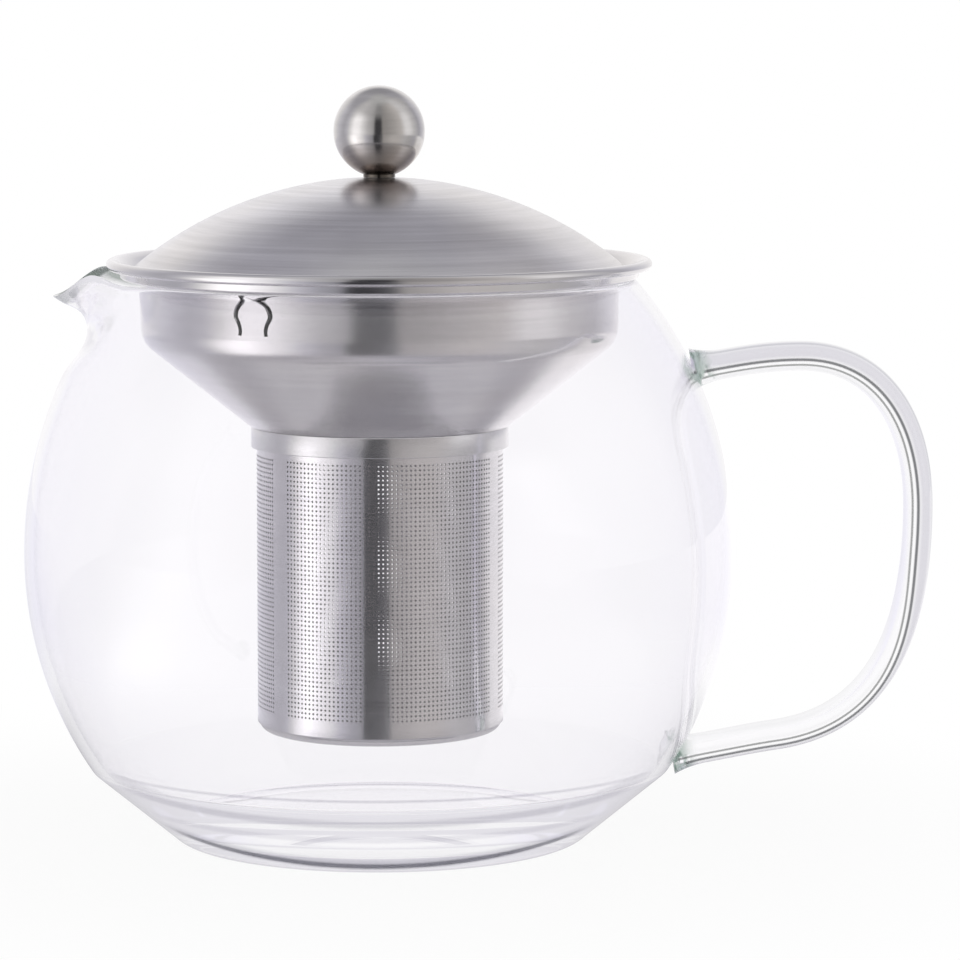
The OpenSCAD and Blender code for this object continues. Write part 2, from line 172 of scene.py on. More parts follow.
def spin(name, outline, turns=240, sharp=SHARP):
    """Spins an outline round Z. Points on the axis become one pole each."""
    rim = list(outline)
    on_axis = [abs(r) < ON_AXIS for r, _ in rim]
    if any(on_axis):  # begin just after the axis so that the strip runs from pole to pole
        first = [i for i in range(len(rim)) if on_axis[i] and not on_axis[(i + 1) % len(rim)]][0]
        rim = rim[first + 1:] + rim[:first + 1]
    strip = [(r, z) for r, z in rim if abs(r) >= ON_AXIS]
    poles = [z for r, z in rim if abs(r) < ON_AXIS]
    angles = np.linspace(0, 2 * math.pi, turns, endpoint=False)
    rings = [[(r * math.cos(a), r * math.sin(a), z) for r, z in strip] for a in angles]
    points = [p for ring in rings for p in ring]
    faces = skin(rings, True, not poles)
    if poles:
        add_poles(points, faces, turns, poles[-1], poles[0])
    return add_mesh(name, points, outward(points, faces), sharp)


def dress(piece, body, nodes, material):
    """Puts a piece on its body, hides the frame nodes it stands for, and gives its finish."""
    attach(piece, body)
    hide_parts(*nodes)
    piece.data.materials.clear()
    piece.data.materials.append(material)
    size = piece.dimensions / MM
    print(f"{piece.name}: {len(piece.data.polygons)} faces, "
          f"{size.x:.1f} x {size.y:.1f} x {size.z:.1f} mm, on {body}")

# %% [markdown]
# ## Writing finishes
# A finish is a small tree of nodes. The class below lets us write it as sums: a wire is one
# output of a node, and plus, minus, times and power on wires add Math nodes. Everything else
# comes from one method that takes the node's type, its settings and its sockets, with short
# names for the nodes that we need most.

# %% A material as arithmetic
class Wire:
    """One output of a node."""

    def __init__(self, finish, socket):
        self.finish, self.socket = finish, socket

    def maths(self, operation, other=None, swapped=False):
        pair = (other, self) if swapped else (self, other)
        values = {i: v for i, v in enumerate(pair) if v is not None}
        return self.finish.node("Math", {"operation": operation}, values)

    def __add__(self, other): return self.maths("ADD", other)
    def __radd__(self, other): return self.maths("ADD", other)
    def __sub__(self, other): return self.maths("SUBTRACT", other)
    def __rsub__(self, other): return self.maths("SUBTRACT", other, True)
    def __mul__(self, other): return self.maths("MULTIPLY", other)
    def __pow__(self, other): return self.maths("POWER", other)


class Finish:
    """A material, or the surroundings, whose nodes are written in Python."""

    def __init__(self, name, kind="Material"):
        store = bpy.data.materials if kind == "Material" else bpy.data.worlds
        self.owner = store.new(name)
        self.owner.use_nodes = True
        self.tree = self.owner.node_tree
        self.tree.nodes.clear()
        self.end = self.tree.nodes.new("ShaderNodeOutput" + kind)

    def node(self, kind, settings=None, sockets=None, out=0):
        """One node, and its output that out names. A socket takes a wire or a value."""
        made = self.tree.nodes.new("ShaderNode" + kind)
        for key, value in (settings or {}).items():
            if key == "stops":
                ramp = made.color_ramp
                while len(ramp.elements) < len(value):
                    ramp.elements.new(1.0)
                for element, (place, colour) in zip(ramp.elements, value):
                    element.position = place
                    element.color = (*colour, 1)
            else:
                setattr(made, key, value)
        for key, value in (sockets or {}).items():
            socket = made.inputs[key]
            if isinstance(value, Wire):
                self.tree.links.new(value.socket, socket)
            else:
                socket.default_value = (*value, 1) if socket.type == "RGBA" else value
        return Wire(self, made.outputs[out])

    def place(self):
        """Where the point lies on its piece, in metres."""
        return self.node("TexCoord", out="Object")

    def xyz(self, vector):
        split = self.node("SeparateXYZ", {}, {0: vector}).socket.node
        return [Wire(self, part) for part in split.outputs]

    def path(self, fact):
        """What is known of the ray that has arrived."""
        return self.node("LightPath", out=fact)

    def attribute(self, label):
        return self.node("Attribute", {"attribute_name": label}, out="Fac")

    def step(self, value, start, end):
        """0 up to start, 1 from end on, and a smooth rise between them."""
        return self.node("MapRange", {"interpolation_type": "SMOOTHSTEP"},
                         {"Value": value, "From Min": start, "From Max": end})

    def blend(self, share, a, b, kind="MIX"):
        """Colour a with a share of b laid over it, mixed or multiplied."""
        return self.node("Mix", {"data_type": "RGBA", "blend_type": kind},
                         {0: share, 6: a, 7: b}, out=2)

    def noise(self, vector, scale, detail, rough):
        return self.node("TexNoise", {}, {
            "Vector": vector, "Scale": scale, "Detail": detail, "Roughness": rough})

    def mix_shaders(self, share, a, b):
        return self.node("MixShader", {}, {0: share, 1: a, 2: b})

    def close(self, shader):
        self.tree.links.new(shader.socket, self.end.inputs["Surface"])
        print("finish", self.owner.name, "has", len(self.tree.nodes), "nodes")
        return self.owner

# %% [markdown]
# ## Brushed steel
# The sheet was turned or polished against a belt, which leaves grooves far finer than a
# hair. They run round the axis, so highlights smear across them. We give the steel a grain
# in the bump that is too fine to see singly, faint streaks in its colour, cloudy patches
# where hands and heat have been, and a tint that wanders between lilac and warm. Under the
# knob's ball a brown painted shade darkens it, and a darker painted shadow lies on its neck.

# %% Brushed steel finishes
GROOVES, STREAKS = (2600, 1.2), (420, 0.5)  # noise per metre across the turning, and along it
CLOUDS, TINTS = 38, 21  # noise per metre
GROOVE_DEPTH = 0.02 * MM
CLOUD_TONES = [(0.3, (0.62, 0.62, 0.64)), (0.7, (1, 1, 1))]
LILAC_TINT, WARM_TINT = (0.975, 0.965, 1.0), (1.0, 0.965, 0.925)
# painted shade under the knob's ball, brownish, and a darker painted shadow on its neck
UNDER_BALL_SHADE, NECK_SHADOW = (0.62, 0.56, 0.52), (0.2, 0.18, 0.16)
NECK_BELOW, NECK_FADE, SHADE_WANDER = 1.2 * MM, 0.8 * MM, 3 * MM


def turned_noise(f, across, along, detail, rough):
    """Noise that runs round the axis: fine across the turning, long along it."""
    x, y, z = f.xyz(f.place())
    radius = (x * x + y * y) ** 0.5
    angle = y.maths("ARCTAN2", x)
    vector = f.node("CombineXYZ", {}, {0: radius * across, 1: z * across, 2: angle * along})
    return f.noise(vector, 1.0, detail, rough)


def stretched(noise, mean, contrast):
    """Noise lies close round its mean. This spreads it round one half."""
    return (noise - mean) * contrast + 0.5


def brushed_steel(name, colour, roughness, grain, streaks, clouds, tints=0.3, shade_heights=None):
    """The strengths run from 0 to 1. The last argument gives two heights in metres for a painted
    shade: brown at and below the first, none above the second, and a darker painted shadow
    on the neck below them."""
    f = Finish(name)
    fine = turned_noise(f, *GROOVES, 3.0, 0.7)
    streak = turned_noise(f, *STREAKS, 4.0, 0.65)
    place = f.place()
    patch = f.noise(place, CLOUDS, 3.0, 0.55)
    tint = f.noise(place, TINTS, 2.0, 0.5)
    light = tuple(min(1, c * (1 + streaks)) for c in colour)
    dark = tuple(c * (1 - streaks) for c in colour)
    shade = f.blend(stretched(streak, 0.5, 2.5), dark, light)
    hue = f.blend(stretched(tint, 0.56, 4), LILAC_TINT, WARM_TINT)
    shade = f.blend(tints, shade, hue, "MULTIPLY")
    cloud = f.node("ValToRGB", {"stops": CLOUD_TONES}, {0: patch})
    shade = f.blend(clouds, shade, cloud, "MULTIPLY")
    # painted shade under the ball and a painted shadow on the neck, by height
    if shade_heights:
        height = f.xyz(place)[2] + (tint - 0.5) * SHADE_WANDER
        neck = shade_heights[0] - NECK_BELOW
        for start, end, film in ((*shade_heights, UNDER_BALL_SHADE), (neck, neck + NECK_FADE, NECK_SHADOW)):
            painted_shade_colour = tuple(c * k for c, k in zip(colour, film))
            shade = f.blend(f.step(height, start, end), painted_shade_colour, shade)
    bump = f.node("Bump", {}, {"Strength": grain, "Distance": GROOVE_DEPTH, "Height": fine})
    steel = f.node("BsdfPrincipled", {}, {
        "Base Color": shade, "Metallic": 1.0, "Roughness": roughness + (patch - 0.5) * 0.12,
        "Normal": bump})
    return f.close(steel)


# colour, roughness, and the strengths of grain, streaks, clouds and tints
lid_steel = brushed_steel("lid_steel", (0.71, 0.705, 0.71), 0.25, 0.6, 0.12, 0.35, 0.8)
funnel_steel = brushed_steel("funnel_steel", (0.70, 0.695, 0.70), 0.16, 0.3, 0.05, 0.25, 0.6)
sleeve_steel = brushed_steel("sleeve_steel", (0.69, 0.685, 0.69), 0.12, 0.1, 0.03, 0.12)
cup_steel = brushed_steel("cup_steel", (0.69, 0.685, 0.69), 0.13, 0.12, 0.03, 0.15)
# the knob gets a painted shade under its ball and a painted shadow on its neck
knob_steel = brushed_steel("knob_steel", (0.63, 0.62, 0.61), 0.14, 0.12, 0.08, 0.15,
                           shade_heights=(143.5 * MM, 151.5 * MM))
fitting_steel = brushed_steel("fitting_steel", (0.68, 0.68, 0.68), 0.18, 0.2, 0.04, 0.2)

# %% [markdown]
# ## Clear glass
# Glass shows itself by its edges: seen face on it is nearly gone, and seen along the wall
# it turns grey. Layer Weight gives that, as absorption would. Lamps and soft light pass
# through by a Transparent shader, so that the steel inside is lit.
#
# Light that is caught in a thick foot runs round in it for a long time. Real glass scatters
# it out as a soft glow; here rays that have turned too often end in a pale painted glow, an
# emission, not in black.
#
# Round the foot, the light and dark lines that the bent glass shows are painted reflection
# lines. A painted highlight and painted reflection lines are laid along the strap's front in
# the same way. The fire-rounded lip gets a painted shade where it is seen end on, and the
# fused joints show dark folds. All these are tones in the colour of the glass, placed by
# height and bearing or by numbers that the meshes keep at their points.

# %% Painted reflections and marks in the glass
# painted reflection lines round the foot: height in front, lift to the sides and half width in
# millimetres, and tone
PAINTED_FOOT_LINES = [(19.0, 0, 0.4, (0.72, 0.71, 0.75)), (13.2, 6.5, 1.5, (0.56, 0.55, 0.6)),
              (9.0, 2.0, 1.1, (0.72, 0.71, 0.76)), (2.5, 8.7, 2.0, (0.5, 0.49, 0.55)),
              (2.0, 8.7, 1.1, (0.04, 0.04, 0.055))]
# a painted highlight and painted reflection lines along the strap: place from -1 inside to 1
# outside, half width, and tone
PAINTED_STRAP_LINES = [(0.45, 0.62, (0.56, 0.545, 0.61)), (0.9, 0.09, (0.4, 0.4, 0.44)),
               (-0.47, 0.11, (0.13, 0.135, 0.13)), (-0.11, 0.16, (0.05, 0.052, 0.056)),
               (-0.31, 0.08, (1.0, 1.0, 1.0))]
LINE_CORE = 0.3  # share of a line's half width that has its full tone
# the painted reflection lines round the foot fade towards the sides
FOOT_LINES_FADE = (0.34, 0.6)  # 1 less the cosine of the bearing at which the rings fade
FOOT_LINES_OUTSIDE = (40 * MM, 45 * MM)
STRAP_FRONT = (-0.6 * MM, 0.0)
FOLDS, FOLD_EDGES, FOLD_TONE = 330, (0.46, 0.54), (0.22, 0.30, 0.26)
JOINT_FADE = (1.5, 5.5)  # millimetres from the wall
# painted shade on the lip's rim where it is seen end on
LIP_RIM_SHADE = (0.17, 0.20, 0.18)


def polar(f):
    """A point's bearing from the front in radians, negative towards the lip, then its
    distance from the axis and its height."""
    x, y, z = f.xyz(f.place())
    return x.maths("ARCTAN2", y * -1), (x * x + y * y) ** 0.5, z


def line_over(f, colour, off, half, shown, tone):
    """A line of tone, by how far off its middle a point lies."""
    core = 1 - f.step(off.maths("ABSOLUTE"), half * LINE_CORE, half)
    return f.blend(core * shown, colour, tone)


def jug_painted_lines(f, colour):
    """Painted reflection lines round the front of the foot, and the painted shade of the lip's
    edge.
    """
    bearing, away, height = polar(f)
    turn = 1 - bearing.maths("COSINE")
    front = (1 - f.step(turn, *FOOT_LINES_FADE)) * f.step(away, *FOOT_LINES_OUTSIDE)
    for z, lift, half, tone in PAINTED_FOOT_LINES:
        off = height - (turn * (lift * MM) + z * MM)
        colour = line_over(f, colour, off, half * MM, front, tone)
    return f.blend(f.attribute("edge"), colour, LIP_RIM_SHADE)


def strap_painted_lines_and_folds(f, colour):
    """A painted highlight and painted reflection lines along the strap's front, and folds in the
    glass at its joints.
    """
    place = f.place()
    front = 1 - f.step(f.xyz(place)[1], *STRAP_FRONT)
    across = f.attribute("across")
    for middle, half, tone in PAINTED_STRAP_LINES:
        colour = line_over(f, colour, across - middle, half, front, tone)
    folds = f.step(f.noise(place, FOLDS, 1.5, 0.5), *FOLD_EDGES)
    joint = 1 - f.step(f.attribute("from_root"), *JOINT_FADE)
    return f.blend(folds * joint, colour, FOLD_TONE)


print(len(PAINTED_FOOT_LINES), "rings round the foot,", len(PAINTED_STRAP_LINES), "lines along the strap")

# %% Glass finishes
FACE_ON, LET_THROUGH = (0.99, 0.984, 0.998), (0.96, 0.965, 0.96)
# rays that turn more often than this end in a painted glow, an emission in the glass
TURNS, TRAPPED_LIGHT_GLOW = 9.0, (0.80, 0.79, 0.83)  # how often a ray may turn before it ends in the glow
RIPPLE, RIPPLE_DEPTH = 30, 1 * MM


def clear_glass(name, veil, edge, wave, marks):
    """veil and edge are each (colour, power): a broad tone and a thin dark one towards the
    outline. wave is the strength of the ripple, and marks lays its tones over the colour."""
    f = Finish(name)
    facing = f.node("LayerWeight", {}, {"Blend": 0.5}, out="Facing")
    veiled = f.blend(facing ** veil[1], FACE_ON, veil[0])
    colour = marks(f, f.blend(facing ** edge[1], veiled, edge[0]))
    ripple = f.noise(f.place(), RIPPLE, 1.0, 0.4)
    bump = f.node("Bump", {}, {"Strength": wave, "Distance": RIPPLE_DEPTH, "Height": ripple})
    glass = f.node("BsdfPrincipled", {}, {
        "Base Color": colour, "Roughness": 0.0, "IOR": 1.47,
        "Transmission Weight": 1.0, "Normal": bump})
    caught = f.path("Ray Depth").maths("GREATER_THAN", TURNS)
    glass = f.mix_shaders(caught, glass, f.node("Emission", {}, {"Color": TRAPPED_LIGHT_GLOW}))
    clear = f.node("BsdfTransparent", {}, {"Color": LET_THROUGH})
    lit = f.path("Is Shadow Ray").maths("MAXIMUM", f.path("Is Diffuse Ray"))
    return f.close(f.mix_shaders(lit, glass, clear))


jug_glass = clear_glass("jug_glass", ((0.91, 0.90, 0.94), 3.0), ((0.60, 0.61, 0.64), 8.0),
                        0.04, jug_painted_lines)
handle_glass = clear_glass("handle_glass", ((0.92, 0.92, 0.93), 1.5), ((0.34, 0.37, 0.38), 4.5),
                           0.03, strap_painted_lines_and_folds)

# %% [markdown]
# ## The blown jug
# The jug is blown into a mould, its mouth is cut and fire-rounded, and while the rim is
# still soft the lip is drawn out with a tool. We follow the same order: an outline with an
# elliptical wall, spun in fine steps, whose rings are then pulled out, drawn in at the
# throat and lowered at the tip, most in the middle of the lip, while its flanks rise.

# %% The wall's outline
BODY_R, BELLY_Z, JUG_H = 75.8, 61.5, 120.0
MOUTH_R, WALL = 52.9, 2.1
EDGE_R, EDGE_Z, EDGE_ROUND = 61.9, 15.8, 3.0
FOOT_R, FOOT_ROUND, FLOOR = 46.7, 6.0, 4.6
RIM_R = WALL / 2
rim_mid = (MOUTH_R + RIM_R, JUG_H - RIM_R)
rise = (rim_mid[1] - BELLY_Z) / math.sqrt(1 - (rim_mid[0] / (BODY_R - RIM_R)) ** 2) + RIM_R
drop = (BELLY_Z - EDGE_Z) / math.sqrt(1 - (EDGE_R / BODY_R) ** 2)


def wall_r(z, inset=0.0):
    """Radius of the elliptical wall at a height, drawn in by an inset."""
    reach = (rise if z > BELLY_Z else drop) - inset
    return (BODY_R - inset) * math.sqrt(max(0, 1 - ((z - BELLY_Z) / reach) ** 2))


def wall(start, end, inset, steps):
    return [(wall_r(z, inset), z) for z in np.linspace(start, end, steps + 1)]


rim_lean = math.degrees(math.atan(((BODY_R - RIM_R) / (rise - RIM_R)) ** 2
                                  * (rim_mid[1] - BELLY_Z) / rim_mid[0]))
print(f"the wall leans {rim_lean:.1f} degrees at the rim")

# %% The jug and its lip
LIP_OUT, TIP_R, LIP_DROP, LIP_LIFT, LIP_H, LIP_POWER = 15.2, 12.0, 3.4, 2.0, 16.0, 2.2
THROAT, THROAT_HALF, THROAT_Z = 1.7, 9.5, 108.5
lip_rim_r = MOUTH_R + WALL
lip_centre = lip_rim_r + LIP_OUT - TIP_R
lip_half = math.acos((lip_rim_r - TIP_R) / lip_centre)
lip_tip = math.atan2(TIP_R * math.sin(lip_half), lip_centre + TIP_R * math.cos(lip_half))


def lip_share(a):
    """0 at the lip's sides and 1 at its tip: two tangents from the rim to a rounded tip."""
    a = abs(a)
    if a >= lip_half:
        return 0.0
    if a < lip_tip:
        reach = lip_centre * math.cos(a) + math.sqrt(TIP_R ** 2 - (lip_centre * math.sin(a)) ** 2)
    else:
        reach = lip_rim_r / math.cos(lip_half - a)
    return (reach - lip_rim_r) / LIP_OUT


def smooth(u):
    """A smooth rise from 0 to 1."""
    u = min(1, max(0, u))
    return u * u * (3 - 2 * u)


def lip_pull(z):
    """How far the wall is pulled out at a height, in the middle of the lip."""
    out = LIP_OUT * max(0, (z - JUG_H + LIP_H) / LIP_H) ** LIP_POWER
    if abs(z - THROAT_Z) < THROAT_HALF:
        out -= THROAT * math.cos(math.pi / 2 * (z - THROAT_Z) / THROAT_HALF) ** 2
    return out


def lip_lower(z, share):
    """The tip hangs lower than the rim, and the flanks beside it stand a little higher."""
    near_rim, tip, flank = (smooth(v) for v in (
        (z - JUG_H + LIP_H / 2) / (LIP_H / 2), (share - 0.45) / 0.55, (share - 0.2) / 0.35))
    return near_rim * (LIP_DROP * tip - LIP_LIFT * flank * (1 - tip))


def jug_outline():
    low = [(0, 0), (FOOT_R - FOOT_ROUND, 0)]
    low += arc((FOOT_R - FOOT_ROUND, FOOT_ROUND), FOOT_ROUND, -88, -46, 10)
    low += rounded([low[-1], (EDGE_R, EDGE_Z), wall(EDGE_Z, BELLY_Z, 0, 20)[1]],
                   EDGE_ROUND)[1:-1]
    rim_side = (RIM_R * math.cos(math.radians(rim_lean)), RIM_R * math.sin(math.radians(rim_lean)))
    outside = wall(EDGE_Z + 2.5, rim_mid[1] + rim_side[1] - 0.5, 0, 90)
    inside = wall(EDGE_Z + WALL / 2 + 2, rim_mid[1] - rim_side[1] - 0.5, WALL, 80)
    over = arc(rim_mid, RIM_R, rim_lean, rim_lean + 180, 12)
    edge_in = (wall_r(EDGE_Z + WALL / 2, WALL), EDGE_Z + WALL / 2)
    bend = bezier([(FOOT_R - 1, FLOOR + 3.8), (FOOT_R - 6, FLOOR), (FOOT_R - 16, FLOOR)], 12)
    turn = rounded([inside[0], edge_in, bend[0]], EDGE_ROUND)[1:-1]
    return low + outside + over + inside[::-1] + turn + bend + [(0, FLOOR)]


def jug_mesh():
    strip = jug_outline()[1:-1]
    side = lip_half + math.radians(2)
    turns = list(np.linspace(-side, side, 145))  # in finer steps over the lip
    turns += list(np.linspace(side, 2 * math.pi - side, 161)[1:-1])
    rings = []
    for a in turns:
        share = lip_share(a) if a <= side else 0.0
        rings.append([(-(r + share * lip_pull(z)) * math.cos(a),
                       -(r + share * lip_pull(z)) * math.sin(a),
                       z - lip_lower(z, share)) for r, z in strip])
    points = [p for ring in rings for p in ring]
    faces = skin(rings, True, False)
    add_poles(points, faces, len(turns), 0, FLOOR)
    piece = add_mesh("jug", points, outward(points, faces), 50)
    top = strip.index(max(strip, key=lambda p: p[1]))
    # painted shade: the rim is made dark at the lip's tip and along its far half
    edge = [smooth(lip_share(a) * 5) * smooth(1 - a * 4) if abs(i - top) < 6 and a < side else 0.0
            for a in turns for i in range(len(strip))] + [0.0, 0.0]
    keep_on_points(piece, "edge", edge)
    return piece


dress(jug_mesh(), "jug", ["glass_bowl", "glass_shoulder"], jug_glass)

# %% [markdown]
# ## The handle
# The handle is a strap of solid glass, pulled soft, bent over a form and fused to the jug.
# Its middle line is four smooth curves, its section an ellipse that is wider than thick, and
# it swells where it was pressed on to the wall. Its points keep their place across the strap
# and their distance from the wall, for the painted highlight and painted reflection lines in
# its finish. Down from the grip the painted lines move towards the outside.

# %% The glass strap
REACH, HANDLE_T, HANDLE_W, GROW, GROW_LENGTH = 118.1, 6.4, 11.0, 2.6, 7.0
GRIP_Z, TOP_ROOT_Z, LOW_ROOT_Z, INTO_WALL = 71.2, 100.8, 18.0, 0.7
top_bend, low_bend = (89.7, 103.6), (84.5, 22.0)
grip = (REACH - HANDLE_T / 2, GRIP_Z)
FULL_TOP, FULL_LOW = 0.62, 0.68  # how far the bends reach into their corners
# down from the grip the painted highlight and reflection lines shift outwards
LINE_SHIFT, SHIFT_FROM, SHIFT_OVER = 0.62, GRIP_Z - 8, 34


def handle_line():
    top = (wall_r(TOP_ROOT_Z, INTO_WALL), TOP_ROOT_Z)
    low = (wall_r(LOW_ROOT_Z, INTO_WALL), LOW_ROOT_Z)
    a = bezier([top, (top[0] + 8, top[1] + 1), (top_bend[0] - 10, top_bend[1]), top_bend], 24)
    b = bezier([top_bend, (top_bend[0] + FULL_TOP * (grip[0] - top_bend[0]), top_bend[1]),
                (grip[0], grip[1] + FULL_TOP * (top_bend[1] - grip[1])), grip], 40)
    c = bezier([grip, (grip[0], low_bend[1] + (1 - FULL_LOW) * (grip[1] - low_bend[1])),
                (low_bend[0] + 0.6 * (grip[0] - low_bend[0]), low_bend[1] + 2.6), low_bend], 40)
    d = bezier([low_bend, (low_bend[0] - 6, low_bend[1] - 0.87),
                (low[0] + 8, low[1] + 1.3), low], 24)
    return a + b[1:] + c[1:] + d[1:]


def handle_mesh(sides=36):
    line = np.array(handle_line())
    heading = np.gradient(line, axis=0)
    heading /= np.linalg.norm(heading, axis=1)[:, None]
    around = [2 * math.pi * i / sides for i in range(sides)]
    rings, across, from_root = [], [], []
    for p, h in zip(line, heading):
        reach = min(np.linalg.norm(p - root) for root in (line[0], line[-1]))
        grow = GROW * max(0, 1 - reach / GROW_LENGTH) ** 2
        shift = LINE_SHIFT * smooth((SHIFT_FROM - p[1]) / SHIFT_OVER)
        out = np.array((-h[1], h[0]))
        ring = []
        for a in around:
            q = p + out * math.cos(a) * (HANDLE_T + grow) / 2
            ring.append((q[0], math.sin(a) * (HANDLE_W + grow) / 2, q[1]))
            across.append(math.cos(a) - shift)
            from_root.append(reach)
        rings.append(ring)
    points = [p for ring in rings for p in ring]
    faces = skin(rings, False, True)
    faces += [tuple(range(sides)), tuple(range(len(points) - 1, len(points) - sides - 1, -1))]
    strap = add_mesh("handle", points, outward(points, faces), 50)
    keep_on_points(strap, "across", across)
    keep_on_points(strap, "from_root", from_root)
    return strap


dress(handle_mesh(), "jug", ["glass_handle"], handle_glass)

# %% [markdown]
# ## The funnel
# One disc of sheet is drawn to a collar and a cone, its rim is rolled to a bead, and a
# ledge is left for the lid. The outline is the sheet's under face from the curled rim down
# to the neck. Three spring tongues are cut in the collar and grip the jug's mouth.

# %% The funnel's outline
SHEET, GAP, SEAM = 0.6, 0.3, 0.05
MOUTH_PLAY, RIM_OVER, RIM_RISE, BEAD_R, STEP_LEAN = 2.2, 2.9, 3.6, 1.15, 0.15
LEDGE_BEND, COLLAR_BEND, COLLAR_H, BEND_R, SPIGOT_H = 0.9, 1.2, 10.2, 6.0, 4
ledge_z = JUG_H + GAP
seat_z = ledge_z + SHEET
collar_r = MOUTH_R - MOUTH_PLAY
rim_r = MOUTH_R + WALL + RIM_OVER
bead = (rim_r - BEAD_R, seat_z + RIM_RISE - BEAD_R)
step_r = bead[0] - BEAD_R - 0.1
collar_low = ledge_z - COLLAR_H
sleeve_r, sleeve_t, band_t = 26.3, 0.4, 1.1
sleeve_in = sleeve_r - sleeve_t
spigot_r = sleeve_in - SEAM
band_r = sleeve_r + SEAM + band_t
cone_low = 88.8
cone_end_r = band_r + SHEET / 4
bend = (collar_r - BEND_R, collar_low)
to_bend = (bend[0] - cone_end_r, bend[1] - cone_low)
cone_slope = math.degrees(math.atan2(to_bend[1], to_bend[0])
                          - math.asin(BEND_R / math.hypot(*to_bend)))


def funnel_path():
    path = arc(bead, BEAD_R - SHEET, -140, 90, 28)
    path += [(bead[0] - BEAD_R * 0.4, bead[1] + BEAD_R - SHEET - 0.1)]
    path += [(step_r - STEP_LEAN, bead[1] - BEAD_R * 0.4)]
    path += arc((step_r - 1.3, ledge_z + LEDGE_BEND), LEDGE_BEND, -20, -90, 8)
    path += arc((collar_r + COLLAR_BEND, ledge_z - COLLAR_BEND), COLLAR_BEND, 90, 180, 10)
    path += [(collar_r, ledge_z - COLLAR_BEND - d) for d in (1, 2.5, 4, 6, 8)]
    path += arc(bend, BEND_R, 0, cone_slope - 90, 14)
    a, b = path[-1], (cone_end_r, cone_low)
    path += [(a[0] + (b[0] - a[0]) * t, a[1] + (b[1] - a[1]) * t) for t in (0.25, 0.5, 0.75)]
    path += rounded([b, (spigot_r, cone_low), (spigot_r, cone_low - SPIGOT_H)], 0.2)
    return path


funnel = spin("funnel", sheet(funnel_path(), SHEET), 288)
print("cone slope", round(cone_slope, 1))

# %% The spring tongues
TONGUES, TONGUE_TURN, TONGUE_RISE, SLIT = 3, 29, 0.9, 1.1
TONGUE_W, HEAD_H, TONGUE_ROOT, TONGUE_H = 7.0, 5.6, 5.4, 6.8


def tongue_outline(grow):
    """Half an oval on a narrower foot, seen from outside."""
    half_w, half_h = TONGUE_W / 2 + grow, HEAD_H / 2 + grow
    foot = TONGUE_ROOT / 2 + grow * 0.75
    head = [(x * half_w, TONGUE_H - HEAD_H / 2 + y * half_h)
            for x, y in arc((0, 0), 1, -8, 188, 28)]
    right = bezier([(foot, 0), (foot - 0.5, 1.6), head[0]], 8)
    left = [(-x, y) for x, y in right[::-1]]
    return right[:-1] + head + left[1:]


def slit_cutter():
    """A thin wall that follows each tongue's edge, to be taken out of the collar."""
    points, faces = [], []
    for t in range(TONGUES):
        turn = math.radians(-90 - TONGUE_TURN + 360 * t / TONGUES)
        outer, inner = tongue_outline(SLIT), tongue_outline(0)
        loop = outer + inner[::-1]
        n, m, start = len(loop), len(outer), len(points)
        for r in (collar_r - 3 * SHEET, collar_r + 3 * SHEET):
            for s, h in loop:
                points.append((r * math.cos(turn) - s * math.sin(turn),
                               r * math.sin(turn) + s * math.cos(turn),
                               collar_low + TONGUE_RISE + h))
        for side in (0, 1):
            for i in range(m - 1):
                quad = (start + side * n + i, start + side * n + i + 1,
                        start + side * n + n - 2 - i, start + side * n + n - 1 - i)
                faces.append(quad if side else tuple(reversed(quad)))
        for i in range(n):
            k = (i + 1) % n
            faces.append((start + i, start + k, start + n + k, start + n + i))
    return add_mesh("slit_cutter", points, faces, 30)


def cut(piece, cutter):
    """Takes the cutter out of the piece and removes it."""
    modifier = piece.modifiers.new("cut", "BOOLEAN")
    modifier.operation, modifier.object, modifier.solver = "DIFFERENCE", cutter, "EXACT"
    graph = bpy.context.evaluated_depsgraph_get()
    made = bpy.data.meshes.new_from_object(piece.evaluated_get(graph))
    piece.modifiers.clear()
    piece.data = made
    piece.data.set_sharp_from_angle(angle=math.radians(SHARP))
    bpy.data.objects.remove(cutter)


before = len(funnel.data.polygons)
cut(funnel, slit_cutter())
print("slits changed the funnel from", before, "to", len(funnel.data.polygons), "faces")
dress(funnel, "infuser", ["infuser_funnel"], funnel_steel)

# %% [markdown]
# ## The basket
# The sleeve is rolled from perforated sheet. Rows of tiny holes are laid a millimetre apart
# and leave three plain strips. Each hole is real: every cell of the grid is a ring of quads
# between a square and an eight-sided hole, outside and inside, with the hole's wall between.

# %% Perforated fields
STRIPS, STRIP_W, STRIP_TURN, PITCH, HOLE_R = 3, 4.6, 52, 0.98, 0.245
BASKET_Z, CUP_H, CUP_ROUND, BAND_H = 23.6, 4.4, 1.8, 4.4
HOLES_FROM, HOLES_TO = 28.7, 83.2
AROUND = [(-1, -1), (0, -1), (1, -1), (1, 0), (1, 1), (0, 1), (-1, 1), (-1, 0)]
rows = int(round((HOLES_TO - HOLES_FROM) / PITCH))
row_step = (HOLES_TO - HOLES_FROM) / rows
strip_angle = STRIP_W / sleeve_r
field_angle = 2 * math.pi / STRIPS - strip_angle
columns = int(round(field_angle * sleeve_r / PITCH))
column_step = field_angle / columns


